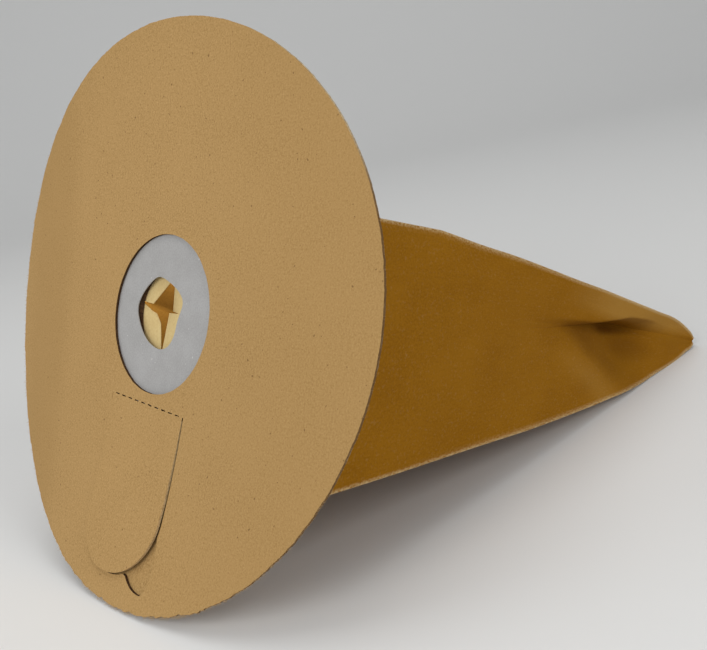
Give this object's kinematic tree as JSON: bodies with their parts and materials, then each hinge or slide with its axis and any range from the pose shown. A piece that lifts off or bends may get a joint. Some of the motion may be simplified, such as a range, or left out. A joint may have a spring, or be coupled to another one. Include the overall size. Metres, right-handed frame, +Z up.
{
  "type": "vacuum dust bag",
  "caption": "Round card disc with a rubber-sealed inlet and a tear-off closing flap, glued to a wedge-shaped brown paper dust bag with side gussets and a flat end seam.",
  "frame": {"origin": "middle of the bounding box's base, on the surface that the bag lies on", "axes": "+X from the card disc towards the bag's end seam, +Z up, as the bag lies on the disc's rim and the seam's corners"},
  "size_m": [0.3948, 0.2908, 0.2672],
  "materials": {
    "kraft_card": "matt speckled kraft card",
    "grey_rubber": "smooth light grey rubber sheet",
    "cream_paper": "matt cream paper",
    "brown_kraft_paper": "matt golden-brown kraft paper"
  },
  "bodies": {
    "root": {"front_card": "kraft_card", "rubber_seal": "grey_rubber", "back_card": "kraft_card", "mouth_sheet": "cream_paper", "paper_bag": "brown_kraft_paper"}
  },
  "joints": []
}
